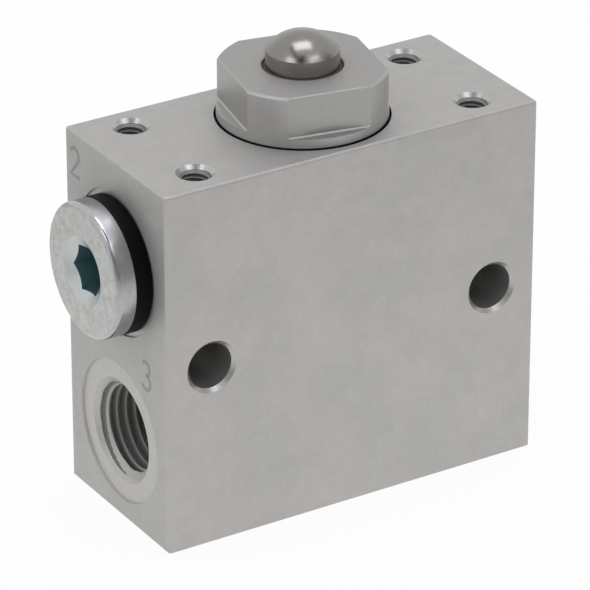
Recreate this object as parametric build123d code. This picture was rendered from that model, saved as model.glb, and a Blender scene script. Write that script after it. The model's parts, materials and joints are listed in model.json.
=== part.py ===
from build123d import *
from math import atan2, degrees, radians, sqrt, tan
import os

# Stem-actuated 3/2-way poppet valve in a rectangular block, all sizes in millimetres.
# The origin is the centre of the block's base face, and the plunger's axis is +Z.
# Left is -X, the side with the plugged port, and front is -Y.

# Block
block_length = 55.0
block_depth = 25.0
block_height = 50.0
edge_round = 0.4
base_edge_round = 0.1

# Pipe ports, G1/4, bored here at the thread's major diameter
port_bore_radius = 6.5785
port_ridge_height = 0.856
port_thread_depth = 11.7
port_mouth_chamfer = 0.5
spot_face_radius = 9.7
spot_face_depth = 0.3
lower_port_height = 12.0
upper_port_drop = 14.0
drill_point_angle = 118.0

# Passages from the ports to the valve bore
upper_passage_radius = 4.0
exhaust_passage_radius = 2.75
exhaust_passage_drop = 3.8
pressure_passage_radius = 2.5
pressure_passage_rise = 3.0

# Fixing holes through the block, front to back
fixing_hole_spacing = 42.0
fixing_hole_height = 25.0
fixing_hole_radius = 3.1
fixing_hole_chamfer = 0.5

# Tapped M4 holes in the top face, bored here at the thread's major diameter
tapped_spacing_x = 41.0
tapped_spacing_y = 16.0
tapped_radius = 2.0
tapped_depth = 8.0
tapped_chamfer = 0.5

# Clearances
seal_clearance = 0.05
running_clearance = 0.03
stack_clearance = 0.05
stop_clearance = 0.05
thread_clearance = 0.05

# Travel: the push rod first crosses the exhaust gap, then pushes the poppet
exhaust_gap = 1.25
poppet_travel = 2.3
plunger_proud_at_stop = 0.9

# Plunger and push rod
plunger_radius = 4.75
plunger_dome_height = 2.33
plunger_collar_thickness = 2.3
collar_gap = 0.3
rod_land = 0.7
rod_shoulder = 0.35
rod_spigot_length = 6.7
rod_tip_chamfer = 0.3

# Gland nut
nut_thread_radius = 10.0
nut_thread_length = 6.8
nut_flange_width = 1.0
nut_reach = 6.9
nut_flat_depth = 1.5
nut_flat_start = 1.35
nut_flat_root = 0.18
nut_flat_break = 0.12
nut_flat_count = 4
nut_turn = -11.0
nut_top_chamfer = 0.3
nut_neck_depth = 1.0
nut_o_ring_section = 0.75
nut_mouth_gap = 0.45
nut_mouth_depth = 1.3
nut_mouth_chamfer = 0.15
nut_land = 0.8
thread_end_chamfer = 0.6
recess_gap = 0.3
recess_depth = 1.2

# Wiper, bush, seal, washer and circlip inside the nut, from the top down
wiper_width = 2.0
wiper_groove_height = 1.8
wiper_lip_height = 0.5
bush_wall = 1.69
bush_length = 5.8
bush_lead = 0.3
plunger_seal_height = 2.0
plunger_seal_groove = 1.0
plunger_seal_lip = 0.55
seal_washer_thickness = 0.8
seal_washer_gap = 0.25
circlip_thickness = 1.0
circlip_width = 1.0
circlip_groove_depth = 0.55
circlip_opening = 3.0

# Seat and poppet
seat_bore_radius = 4.2
seat_lip_width = 0.6
seat_lip_height = 0.5
poppet_bore_radius = 2.1
poppet_stem_wall = 1.2
poppet_seal_margin = 0.7
poppet_seal_thickness = 1.65
poppet_head_thickness = 1.0
poppet_rim_wall = 0.6
poppet_rim_height = 0.7
poppet_stem_overhang = 2.3
exhaust_chamber_radius = 6.5
exhaust_chamber_room = 2.6

# Stack of cages and rings in the block's valve bore, from the bottom up
chamber_land = 0.25
guide_sleeve_length = 4.3
lower_cage_length = 9.0
seat_ring_length = 3.5
cage_wall = 1.65
upper_cage_gap = 0.6
lower_cage_gap = 1.1
cage_window_count = 4
window_web = 0.6
lower_window_radius = 2.8
lower_window_rise = 3.5
washer_thickness = 0.8
washer_bore_gap = 0.4
sleeve_o_ring_section = 0.62
groove_side_gap = 0.33

# Springs, their round wire drawn with flat sides to keep the coils light, and their ends ground
wire_sides = 8
plunger_spring_wire = 1.1
plunger_spring_pitch = 2.4
plunger_spring_inset = 0.25
poppet_spring_wire = 0.8
poppet_spring_pitch = 1.6
poppet_spring_gap = 0.35

# Port plug and its seal ring
plug_seal_margin = 0.7
plug_seal_thickness = 2.46
plug_seal_round = 0.35
plug_collar_inset = 0.05
plug_collar_thickness = 2.65
plug_collar_round = 0.7
plug_shank_length = 9.0
plug_shank_chamfer = 1.2
plug_hex_across_flats = 6.0
plug_hex_depth = 5.5
plug_hex_turn = -23.5
plug_countersink_radius = 4.6
plug_countersink_angle = 120.0

# How far a cutting solid runs on past the face that it opens
cut_past = 1.0

# Radii of the moving pieces, and of what holds them
plunger_travel = exhaust_gap + poppet_travel - stop_clearance
nut_bore_radius = plunger_radius + 2 * running_clearance + bush_wall
nut_mouth_radius = plunger_radius + nut_mouth_gap
wiper_groove_radius = plunger_radius + wiper_width + seal_clearance
collar_radius = nut_bore_radius - collar_gap
dome_radius = (plunger_radius ** 2 + plunger_dome_height ** 2) / (2 * plunger_dome_height)
poppet_stem_radius = poppet_bore_radius + poppet_stem_wall
poppet_seal_radius = seat_bore_radius + seat_lip_width + poppet_seal_margin
poppet_head_radius = poppet_seal_radius + seal_clearance + poppet_rim_wall
rod_radius = poppet_bore_radius + rod_land
rod_spigot_radius = rod_radius - rod_shoulder

# Radii of the fixed pieces
nut_radius = nut_thread_radius + nut_flange_width
nut_neck_radius = nut_thread_radius - nut_neck_depth
nut_neck_bore = nut_neck_radius + 2 * (seal_clearance + nut_o_ring_section)
recess_radius = nut_radius + recess_gap
upper_cage_bore = collar_radius + upper_cage_gap
lower_cage_bore = poppet_head_radius + lower_cage_gap
stack_radius = upper_cage_bore + cage_wall
sleeve_bore_radius = stack_radius + stack_clearance
sleeve_groove_floor = sleeve_bore_radius - 2 * (seal_clearance + sleeve_o_ring_section)
stem_groove_floor = poppet_stem_radius + 2 * (seal_clearance + sleeve_o_ring_section)
groove_half_width = sleeve_o_ring_section + groove_side_gap
washer_bore = seat_bore_radius + washer_bore_gap
plunger_spring_radius = collar_radius - plunger_spring_inset - plunger_spring_wire / 2
poppet_spring_radius = poppet_stem_radius + poppet_spring_gap + poppet_spring_wire / 2
port_drill_radius = port_bore_radius - port_ridge_height
plug_seal_radius = spot_face_radius - plug_seal_margin
plug_collar_radius = plug_seal_radius - plug_collar_inset

# Heights worked out from the base up
exhaust_passage_height = lower_port_height - exhaust_passage_drop
sleeve_step = exhaust_passage_height + exhaust_passage_radius + chamber_land
guide_top = sleeve_step + guide_sleeve_length
guide_middle = (sleeve_step + guide_top) / 2
seat_bottom = guide_top + lower_cage_length
seat_top = seat_bottom + seat_ring_length
seat_middle = (seat_bottom + seat_top) / 2
lip_bottom = seat_bottom - seat_lip_height
lower_window_height = guide_top + lower_window_rise
stem_bottom = sleeve_step - poppet_stem_overhang
exhaust_chamber_floor = stem_bottom - poppet_travel - exhaust_chamber_room

# Heights of the poppet and the rod's tip at rest
poppet_seal_top = lip_bottom - stop_clearance
poppet_seal_bottom = poppet_seal_top - poppet_seal_thickness
poppet_head_bottom = poppet_seal_bottom - poppet_head_thickness
poppet_rim_top = poppet_seal_bottom + poppet_rim_height
rod_tip = poppet_seal_top + exhaust_gap

# Heights worked out from the block's top
upper_port_height = block_height - upper_port_drop
recess_floor = block_height - recess_depth
neck_bottom = recess_floor - 2 * (nut_o_ring_section + seal_clearance)
nut_bottom = neck_bottom - nut_thread_length
nut_top = block_height + nut_reach
wiper_top = nut_top - nut_mouth_depth
wiper_bottom = wiper_top - wiper_groove_height
bush_top = wiper_bottom - nut_land
bush_bottom = bush_top - bush_length
cup_top = bush_bottom - seal_clearance
cup_bottom = cup_top - plunger_seal_height
seal_washer_top = cup_bottom - seal_clearance
seal_washer_bottom = seal_washer_top - seal_washer_thickness
circlip_top = seal_washer_bottom - stop_clearance
circlip_bottom = circlip_top - circlip_thickness
collar_top = circlip_bottom - stop_clearance
collar_bottom = collar_top - plunger_collar_thickness
plunger_top = nut_top + plunger_travel + plunger_proud_at_stop

# Windows of the upper cage, as wide as its ends leave room for
upper_window_radius = min(nut_bottom - upper_port_height, upper_port_height - seat_top) - window_web

# Port places along X
spot_floor = block_length / 2 - spot_face_depth
port_end = spot_floor - port_thread_depth

upward = (Align.CENTER, Align.CENTER, Align.MIN)
outward = (Align.MIN, Align.CENTER, Align.MIN)


def disc(radius, low, high):
    """Solid cylinder on the Z axis between two heights."""
    return Pos(0, 0, low) * Cylinder(radius, high - low, align=upward)


def cone(low_radius, high_radius, low, high):
    """Solid cone or frustum on the Z axis between two heights."""
    return Pos(0, 0, low) * Cone(low_radius, high_radius, high - low, align=upward)


def ring(inner, outer, low, high):
    """Plain ring on the Z axis between two heights."""
    return disc(outer, low, high) - disc(inner, low, high)


def turned(corners):
    """Solid of revolution about Z from (radius, height) corners of half its section."""
    outline = Plane.XZ * Polyline(*corners, close=True)
    return revolve(make_face(outline), axis=Axis.Z)


def o_ring(centre_radius, section, height):
    """Round-section ring on the Z axis."""
    return Pos(0, 0, height) * Torus(centre_radius, section)


def along_x(solid, side):
    """Turn a solid built up the Z axis so that its +Z points out of the +X or -X side."""
    return Rot(0, 90 * side, 0) * solid


def four_corners(spacing_x, spacing_y, height):
    """Places of a rectangular pattern about the Z axis."""
    places = []
    for x in (-spacing_x / 2, spacing_x / 2):
        for y in (-spacing_y / 2, spacing_y / 2):
            places.append(Pos(x, y, height))
    return places


def cone_depth(radius, angle):
    """Depth of a pointed cone of this mouth radius and full angle in degrees."""
    return radius / tan(radians(angle / 2))


def port_cut():
    """Spot face, mouth chamfer, thread bore and drill point of one port, opening up +Z at height 0."""
    floor = -spot_face_depth
    bottom = floor - port_thread_depth
    cut = disc(spot_face_radius, floor, cut_past)
    cut += disc(port_bore_radius, bottom, floor)
    mouth = port_bore_radius + port_mouth_chamfer
    cut += cone(port_bore_radius, mouth, floor - port_mouth_chamfer, floor)
    point = cone_depth(port_drill_radius, drill_point_angle)
    cut += cone(0.0, port_drill_radius, bottom - point, bottom)
    return cut


def level_passage(radius, height, side, reach):
    """Straight passage along X from a port's end to the valve bore."""
    length = port_end + cut_past - reach
    passage = Pos(0, 0, reach) * Cylinder(radius, length, align=upward)
    return Pos(0, 0, height) * along_x(passage, side)


def slanted_passage():
    """Drilled passage that climbs from the pressure port's end to the lower cage's window."""
    start = Vector(port_end, 0, lower_port_height + pressure_passage_rise)
    finish = Vector(sleeve_bore_radius, 0, lower_window_height)
    run = start - finish
    lean = degrees(atan2(run.X, run.Z))
    drill = disc(pressure_passage_radius, -pressure_passage_radius, run.length + pressure_passage_radius)
    return Pos(finish.X, 0, finish.Z) * Rot(0, lean, 0) * drill


def valve_bore():
    """Stepped bore down the block's middle, from the recess to the exhaust chamber."""
    bore = disc(recess_radius, recess_floor, block_height + cut_past)
    bore += disc(nut_neck_bore, neck_bottom, recess_floor)
    bore += disc(nut_thread_radius, nut_bottom, neck_bottom)
    bore += disc(sleeve_bore_radius, sleeve_step, nut_bottom)
    bore += disc(exhaust_chamber_radius, exhaust_chamber_floor, sleeve_step)
    return bore


def tapped_hole():
    """Countersunk blind hole with a drill point, opening up +Z at height 0."""
    hole = disc(tapped_radius, -tapped_depth, cut_past)
    hole += cone(tapped_radius, tapped_radius + tapped_chamfer, -tapped_chamfer, 0)
    point = cone_depth(tapped_radius, drill_point_angle)
    hole += cone(0.0, tapped_radius, -tapped_depth - point, -tapped_depth)
    return hole


def fixing_hole():
    """Clear hole through the block's depth with both mouths broken, along Z and centred."""
    half = block_depth / 2
    mouth = fixing_hole_radius + fixing_hole_chamfer
    hole = Cylinder(fixing_hole_radius, block_depth + 2 * cut_past)
    break_edge = cone(fixing_hole_radius, mouth, half - fixing_hole_chamfer, half)
    return hole + break_edge + Rot(180, 0, 0) * break_edge


def make_valve_block():
    body = Box(block_length, block_depth, block_height, align=upward)
    base_edges = body.edges().group_by(Axis.Z)[0]
    body = fillet(body.edges() - base_edges, edge_round)
    body = fillet(body.edges().group_by(Axis.Z)[0], base_edge_round)
    body -= valve_bore()
    upper_reach = sleeve_bore_radius - cut_past
    exhaust_reach = exhaust_chamber_radius - cut_past
    for side in (-1, 1):
        for height in (lower_port_height, upper_port_height):
            place = Pos(side * block_length / 2, 0, height)
            body -= place * along_x(port_cut(), side)
        body -= level_passage(upper_passage_radius, upper_port_height, side, upper_reach)
    body -= level_passage(exhaust_passage_radius, exhaust_passage_height, -1, exhaust_reach)
    body -= slanted_passage()
    for x in (-fixing_hole_spacing / 2, fixing_hole_spacing / 2):
        body -= Pos(x, 0, fixing_hole_height) * Rot(90, 0, 0) * fixing_hole()
    for place in four_corners(tapped_spacing_x, tapped_spacing_y, block_height):
        body -= place * tapped_hole()
    return body


def make_gland_nut():
    """Round nut with four flats, a threaded shank and a stepped bore for the plunger's parts."""
    thread = nut_thread_radius - thread_clearance
    top_edge = nut_radius - nut_top_chamfer
    nut = turned([
        (0, nut_bottom),
        (thread - thread_end_chamfer, nut_bottom),
        (thread, nut_bottom + thread_end_chamfer),
        (thread, neck_bottom),
        (nut_neck_radius, neck_bottom),
        (nut_neck_radius, recess_floor),
        (nut_radius, recess_floor),
        (nut_radius, nut_top - nut_top_chamfer),
        (top_edge, nut_top),
        (0, nut_top),
    ])
    flat_bottom = block_height + nut_flat_start
    waste_height = nut_top - flat_bottom + cut_past
    waste_length = 2 * nut_radius + cut_past
    waste = Box(nut_radius, waste_length, waste_height, align=outward)
    root = waste.edges().filter_by(Axis.Y).sort_by(Axis.Z)[:2].sort_by(Axis.X)[0]
    waste = chamfer(root, nut_flat_root)
    break_side = nut_flat_break * sqrt(2)
    break_edge = Box(break_side, waste_length, break_side)
    waste += Pos(0, 0, nut_top - flat_bottom) * Rot(0, 45, 0) * break_edge
    for step in range(nut_flat_count):
        angle = nut_turn + step * 360.0 / nut_flat_count
        nut -= Rot(0, 0, angle) * Pos(nut_radius - nut_flat_depth, 0, flat_bottom) * waste
    nut -= disc(nut_mouth_radius, bush_top - cut_past, nut_top + cut_past)
    mouth = nut_mouth_radius + nut_mouth_chamfer
    nut -= cone(nut_mouth_radius, mouth, nut_top - nut_mouth_chamfer, nut_top)
    nut -= disc(wiper_groove_radius, wiper_bottom, wiper_top)
    nut -= disc(nut_bore_radius, nut_bottom - cut_past, bush_top)
    groove_radius = nut_bore_radius + circlip_groove_depth
    return nut - disc(groove_radius, circlip_bottom - stop_clearance, circlip_top + stop_clearance)


def make_nut_o_ring():
    inner = nut_neck_radius + seal_clearance
    return o_ring(inner + nut_o_ring_section, nut_o_ring_section, (neck_bottom + recess_floor) / 2)


def make_wiper_ring():
    """Wiper with a lip that leans in to the plunger."""
    inner = plunger_radius + running_clearance
    outer = wiper_groove_radius - seal_clearance
    low = wiper_bottom + seal_clearance
    high = wiper_top - seal_clearance
    body_inner = nut_mouth_radius
    return turned([
        (body_inner, low),
        (outer, low),
        (outer, high),
        (body_inner, high),
        (inner, high),
        (inner, high - wiper_lip_height),
    ])


def make_guide_bush():
    outer = nut_bore_radius - running_clearance
    bush = ring(plunger_radius + running_clearance, outer, bush_bottom, bush_top)
    return chamfer(bush.edges().group_by(Axis.Z)[0].sort_by(SortBy.RADIUS)[-1], bush_lead)


def make_plunger_seal():
    """Cup seal with a groove in its lower face that lets pressure spread its lips."""
    inner = plunger_radius + running_clearance
    outer = nut_bore_radius - seal_clearance
    seal = ring(inner, outer, cup_bottom, cup_top)
    groove_top = cup_bottom + plunger_seal_groove
    return seal - ring(inner + plunger_seal_lip, outer - plunger_seal_lip, cup_bottom, groove_top)


def make_seal_washer():
    outer = nut_bore_radius - seal_clearance
    return ring(plunger_radius + seal_washer_gap, outer, seal_washer_bottom, seal_washer_top)


def make_circlip():
    """Open spring ring in the nut's groove."""
    outer = nut_bore_radius + circlip_groove_depth - seal_clearance
    clip = ring(nut_bore_radius - circlip_width, outer, circlip_bottom, circlip_top)
    gap = Box(2 * outer, circlip_opening, circlip_thickness, align=outward)
    return clip - Pos(0, 0, circlip_bottom) * gap


def make_plunger():
    """Domed pin with a stop collar and a tapped lower end for the push rod."""
    dome = Pos(0, 0, plunger_top - dome_radius) * Sphere(dome_radius)
    edge = plunger_top - plunger_dome_height
    pin = disc(plunger_radius, collar_bottom, edge)
    pin += disc(plunger_radius, edge, plunger_top) & dome
    pin += disc(collar_radius, collar_bottom, collar_top)
    depth = rod_spigot_length + stop_clearance
    return pin - disc(rod_spigot_radius + thread_clearance, collar_bottom, collar_bottom + depth)


def make_push_rod():
    rod = disc(rod_radius, rod_tip, collar_bottom)
    rod = chamfer(rod.edges().group_by(Axis.Z)[0], rod_tip_chamfer)
    return rod + disc(rod_spigot_radius, collar_bottom, collar_bottom + rod_spigot_length)


def coil_spring(mean_radius, wire, pitch, low, high):
    """Helical spring between two heights, its end turns ground flat."""
    path = Pos(0, 0, low) * Helix(pitch, high - low, mean_radius)
    section = Plane(path @ 0, x_dir=(1, 0, 0), z_dir=path % 0) * RegularPolygon(wire / 2, wire_sides)
    coil = sweep(section, path=path, is_frenet=True)
    return coil & disc(mean_radius + wire, low, high)


def make_plunger_spring():
    low = seat_top + washer_thickness + stop_clearance
    high = collar_bottom - stop_clearance
    return coil_spring(plunger_spring_radius, plunger_spring_wire, plunger_spring_pitch, low, high)


def make_poppet_spring():
    low = guide_top + stop_clearance
    high = poppet_head_bottom - stop_clearance
    return coil_spring(poppet_spring_radius, poppet_spring_wire, poppet_spring_pitch, low, high)


def make_spring_washer():
    return ring(washer_bore, upper_cage_bore - seal_clearance, seat_top, seat_top + washer_thickness)


def cage(bore, low, high, window_radius, window_height):
    """Spacer sleeve with round windows that face the passages."""
    sleeve = ring(bore, stack_radius, low, high)
    drill = disc(window_radius, bore - cut_past, stack_radius + cut_past)
    for step in range(cage_window_count):
        angle = step * 360.0 / cage_window_count
        sleeve -= Pos(0, 0, window_height) * Rot(0, 0, angle) * along_x(drill, 1)
    return sleeve


def make_upper_cage():
    return cage(upper_cage_bore, seat_top, nut_bottom, upper_window_radius, upper_port_height)


def make_lower_cage():
    return cage(lower_cage_bore, guide_top, seat_bottom, lower_window_radius, lower_window_height)


def sleeve_groove(middle):
    """O-ring groove round the outside of a ring in the stack."""
    low = middle - groove_half_width
    return ring(sleeve_groove_floor, sleeve_bore_radius, low, middle + groove_half_width)


def sleeve_o_ring(middle):
    """O-ring in that groove, clear of its floor and of the block's bore."""
    return o_ring(sleeve_groove_floor + seal_clearance + sleeve_o_ring_section, sleeve_o_ring_section, middle)


def make_seat_ring():
    """Valve seat: a grooved ring with a raised lip round its bore that faces the poppet."""
    seat = ring(seat_bore_radius, stack_radius, seat_bottom, seat_top)
    seat += ring(seat_bore_radius, seat_bore_radius + seat_lip_width, lip_bottom, seat_bottom)
    return seat - sleeve_groove(seat_middle)


def make_seat_ring_o_ring():
    return sleeve_o_ring(seat_middle)


def make_guide_sleeve():
    """Guide for the poppet's stem, grooved outside and inside."""
    sleeve = ring(poppet_stem_radius + running_clearance, stack_radius, sleeve_step, guide_top)
    sleeve -= sleeve_groove(guide_middle)
    low = guide_middle - groove_half_width
    return sleeve - ring(poppet_stem_radius, stem_groove_floor, low, guide_middle + groove_half_width)


def make_guide_o_ring():
    return sleeve_o_ring(guide_middle)


def make_stem_o_ring():
    centre = poppet_stem_radius + seal_clearance + sleeve_o_ring_section
    return o_ring(centre, sleeve_o_ring_section, guide_middle)


def make_poppet_body():
    """Cupped head on a hollow stem, which vents the working port when the poppet is shut."""
    poppet = disc(poppet_head_radius, poppet_head_bottom, poppet_rim_top)
    poppet -= disc(poppet_seal_radius + seal_clearance, poppet_seal_bottom, poppet_rim_top)
    poppet += disc(poppet_stem_radius, stem_bottom, poppet_head_bottom)
    return poppet - disc(poppet_bore_radius, stem_bottom, poppet_seal_bottom)


def make_poppet_seal():
    return ring(poppet_bore_radius, poppet_seal_radius, poppet_seal_bottom, poppet_seal_top)


def make_port_plug():
    """Collared plug with an inner hexagon, built up +Z from its seal's floor and laid on its side."""
    back = plug_seal_thickness
    face = back + plug_collar_thickness
    collar = disc(plug_collar_radius, back, face)
    collar = fillet(collar.edges().group_by(Axis.Z)[-1], plug_collar_round)
    shank_radius = port_bore_radius - thread_clearance
    shank = disc(shank_radius, back - plug_shank_length, back)
    plug = collar + chamfer(shank.edges().group_by(Axis.Z)[0], plug_shank_chamfer)
    corner = plug_hex_across_flats / sqrt(3)
    hexagon = Rot(0, 0, plug_hex_turn) * RegularPolygon(corner, 6)
    plug -= Pos(0, 0, face - plug_hex_depth) * extrude(hexagon, plug_hex_depth + cut_past)
    depth = cone_depth(plug_countersink_radius, plug_countersink_angle)
    plug -= cone(0.0, plug_countersink_radius, face - depth, face)
    return Pos(-spot_floor, 0, upper_port_height) * along_x(plug, -1)


def make_port_plug_seal():
    seal = ring(port_bore_radius + seal_clearance, plug_seal_radius, 0, plug_seal_thickness)
    outer = seal.edges().filter_by(GeomType.CIRCLE).sort_by(SortBy.RADIUS)[-2:]
    seal = fillet(outer, plug_seal_round)
    return Pos(-spot_floor, 0, upper_port_height) * along_x(seal, -1)


nodes = {
    "valve_block": make_valve_block,
    "gland_nut": make_gland_nut,
    "nut_o_ring": make_nut_o_ring,
    "wiper_ring": make_wiper_ring,
    "guide_bush": make_guide_bush,
    "plunger_seal": make_plunger_seal,
    "seal_washer": make_seal_washer,
    "circlip": make_circlip,
    "plunger": make_plunger,
    "push_rod": make_push_rod,
    "plunger_spring": make_plunger_spring,
    "spring_washer": make_spring_washer,
    "upper_cage": make_upper_cage,
    "seat_ring": make_seat_ring,
    "seat_ring_o_ring": make_seat_ring_o_ring,
    "lower_cage": make_lower_cage,
    "poppet_body": make_poppet_body,
    "poppet_seal": make_poppet_seal,
    "poppet_spring": make_poppet_spring,
    "guide_sleeve": make_guide_sleeve,
    "guide_sleeve_o_ring": make_guide_o_ring,
    "stem_o_ring": make_stem_o_ring,
    "port_plug": make_port_plug,
    "port_plug_seal": make_port_plug_seal,
}

os.makedirs("parts", exist_ok=True)
for name, make in nodes.items():
    export_step(make(), "parts/" + name + ".step")
print("plunger travel", round(plunger_travel, 3), "poppet ratio", round(poppet_travel / plunger_travel, 6))
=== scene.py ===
# %% [markdown]
# # A push-button valve on white
#
# The object is a small 3/2-way valve for compressed air. It is a rectangular block of anodised
# aluminium with a round nut screwed into its top, a domed steel button in the nut, threaded ports
# in its ends, and a steel plug in one of them.
#
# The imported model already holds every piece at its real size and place. This script dresses it:
# each cell says what a piece or a finish is on the real object, how it could be made, and why it
# is made this way here.

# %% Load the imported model
import json
import math

import bmesh
import bpy
from mathutils import Matrix, Vector

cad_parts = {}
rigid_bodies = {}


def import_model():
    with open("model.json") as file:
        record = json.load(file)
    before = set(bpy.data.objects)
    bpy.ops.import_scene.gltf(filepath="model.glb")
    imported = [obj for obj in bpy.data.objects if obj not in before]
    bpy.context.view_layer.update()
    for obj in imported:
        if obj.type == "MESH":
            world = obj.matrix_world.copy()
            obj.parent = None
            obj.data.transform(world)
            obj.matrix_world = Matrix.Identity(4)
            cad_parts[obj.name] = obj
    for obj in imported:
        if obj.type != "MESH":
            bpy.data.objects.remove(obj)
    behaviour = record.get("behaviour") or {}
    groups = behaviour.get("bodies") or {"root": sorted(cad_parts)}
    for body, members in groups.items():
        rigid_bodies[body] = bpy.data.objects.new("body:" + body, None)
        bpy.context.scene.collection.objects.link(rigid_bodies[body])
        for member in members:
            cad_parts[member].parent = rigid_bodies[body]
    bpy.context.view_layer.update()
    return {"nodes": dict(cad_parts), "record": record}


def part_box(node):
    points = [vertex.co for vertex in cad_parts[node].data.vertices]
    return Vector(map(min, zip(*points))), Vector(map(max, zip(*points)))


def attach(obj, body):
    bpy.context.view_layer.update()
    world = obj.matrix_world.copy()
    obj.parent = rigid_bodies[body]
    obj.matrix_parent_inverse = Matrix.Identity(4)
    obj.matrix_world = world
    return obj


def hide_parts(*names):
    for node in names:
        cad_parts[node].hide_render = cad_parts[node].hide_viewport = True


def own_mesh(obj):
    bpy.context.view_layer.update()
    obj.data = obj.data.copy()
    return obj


# A new Blender scene holds a cube, a lamp and a camera that nobody asked for
for thing in list(bpy.data.objects):
    bpy.data.objects.remove(thing)

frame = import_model()
nodes = frame["nodes"]

# %% [markdown]
# ## Sizes
#
# Blender counts in metres here, but a valve is drawn in millimetres. One factor turns the second
# into the first. The block's own box gives the faces that everything else is placed from, so
# nothing has to be fitted by eye.

# %% Measure the block
MM = 0.001
block_low, block_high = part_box("valve_block")
block_size = block_high - block_low
left_face = block_low.x
right_face = block_high.x
front_face = block_low.y
top_face = block_high.z
print("block, mm:", [round(side / MM, 2) for side in block_size])

# %% [markdown]
# ## Colour
#
# A hex colour is written in sRGB, as a screen shows it, while the shaders count in linear light.
# Typing the screen's numbers straight into a shader makes everything too pale, so every colour
# below goes through this one function.

# %% Turn a hex colour into linear light
def linear(hex_colour):
    """Linear RGBA of an sRGB hex colour such as #A8A8A4."""
    channels = []
    for start in (1, 3, 5):
        value = int(hex_colour[start:start + 2], 16) / 255
        if value <= 0.04045:
            channels.append(value / 12.92)
        else:
            channels.append(((value + 0.055) / 1.055) ** 2.4)
    return (*channels, 1.0)


print("mid grey #808080 is", round(linear("#808080")[0], 3), "in linear light")

# %% [markdown]
# ## Building shaders in code
#
# A material is a small graph. One function adds a node of any kind, sets its options, and either
# links each input or gives it a value. Written this way a shader reads from top to bottom like a
# recipe, and no special function per kind of node is needed. An input can be given a hex colour,
# which is turned into linear light, or a node as it is, whose first output in use it then takes.
#
# Inputs that share a name go by number. A Mix node has its share at 0 and its two colours at 6 and
# 7. A Map Range has its value at 0, the range it reads at 1 and 2, and the range it gives at 3 and
# 4, which is 0 to 1 unless they say otherwise.

# %% Add a node, and start a material
def add(tree, kind, inputs=None, **settings):
    """New node of this kind, with its inputs linked or set and its options set."""
    node = tree.nodes.new(kind)
    for name, value in settings.items():
        setattr(node, name, value)
    for key, value in (inputs or {}).items():
        if isinstance(value, str):
            value = linear(value)
        elif isinstance(value, bpy.types.Node):
            value = next(output for output in value.outputs if output.enabled)
        if isinstance(value, bpy.types.NodeSocket):
            tree.links.new(value, node.inputs[key])
        else:
            node.inputs[key].default_value = value
    return node


def start_material(name):
    """Empty material, its node tree, and the surface position in millimetres."""
    material = bpy.data.materials.new(name)
    material.use_nodes = True
    tree = material.node_tree
    tree.nodes.clear()
    place = add(tree, "ShaderNodeTexCoord")
    in_mm = add(tree, "ShaderNodeVectorMath", {0: place.outputs["Object"], "Scale": 1 / MM},
                operation="SCALE")
    print("making", material.name)
    return material, tree, in_mm


def finish_material(tree, shader):
    """Connect the shader to the material's surface."""
    add(tree, "ShaderNodeOutputMaterial", {"Surface": shader})


def finish_surface(tree, colour, metallic, roughness, relief=None, height_mm=0.0, more=None):
    """Give the material this colour and gloss, a relief of this height, and further inputs."""
    inputs = {"Base Color": colour, "Metallic": metallic, "Roughness": roughness, **(more or {})}
    if relief:
        inputs["Normal"] = add(tree, "ShaderNodeBump",
                               {"Strength": 1.0, "Distance": height_mm * MM, "Height": relief})
    finish_material(tree, add(tree, "ShaderNodeBsdfPrincipled", inputs))


# %% [markdown]
# No metal is one colour all over: it has been handled, smeared and worn in patches. Most finishes
# below therefore start from two close tones, with noise of a real size that chooses between them.
# Noise mostly stays between 0.3 and 0.7, so the ranges that read it do too, and a narrower one
# gives sharper patches.

# %% Two tones with noise between them
def mottle(tree, place, size_mm, dark, pale, detail=3.0):
    """Noise with patches of this size, and the mix that it makes of two tones."""
    noise = add(tree, "ShaderNodeTexNoise", {"Vector": place, "Scale": 1 / size_mm, "Detail": detail})
    colour = add(tree, "ShaderNodeMix", {0: noise, 6: dark, 7: pale}, data_type="RGBA")
    return noise, colour


# %% [markdown]
# ## Natural anodised aluminium
#
# The block is cut from extruded aluminium bar, etched and then anodised without dye. The etch
# leaves a fine satin grain, and the clear oxide over it scatters light as well as the metal
# mirrors it, so the block looks half like metal and half like grey chalk. It shows no mirror
# image, and its edges hardly flash. Handling leaves a few small dark specks.
#
# A photograph could be wrapped round the block, but it would carry its own light with it. Noise
# in real millimetres does the same work from every side. The real grain is about 0.05 mm, too
# fine for this picture, so it is drawn at 0.35 mm.

# %% Sizes of the anodised surface's patterns
GRAIN_MM = 0.35
CLOUD_MM = 9.0
SMUDGE_MM = 2.2
GRAIN_HEIGHT_MM = 0.004
UNEVENNESS = 0.05
SPECK_SPACING_MM = 5.0
SPECK_RADIUS_MM = 0.13
SPECK_SHARE = 0.4
SPECK_DARKNESS = 0.3
EDGE_WEAR_AND_SHEEN_MM = 1.2

# %% Small specks
def specks(tree, place, spacing_mm, radius_mm, share):
    """Small dots, 1 inside and 0 outside, in this share of the cells of a loose grid."""
    cells = add(tree, "ShaderNodeTexVoronoi", {"Vector": place, "Scale": 1 / spacing_mm})
    dot = add(tree, "ShaderNodeMapRange",
              {0: cells.outputs["Distance"], 1: 0.0, 2: radius_mm / spacing_mm, 3: 1.0, 4: 0.0},
              interpolation_type="SMOOTHSTEP")
    chance = add(tree, "ShaderNodeSeparateColor", {0: cells.outputs["Color"]})
    kept = add(tree, "ShaderNodeMath", {0: chance.outputs[0], 1: 1 - share}, operation="GREATER_THAN")
    return add(tree, "ShaderNodeMath", {0: dot, 1: kept}, operation="MULTIPLY")
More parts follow.
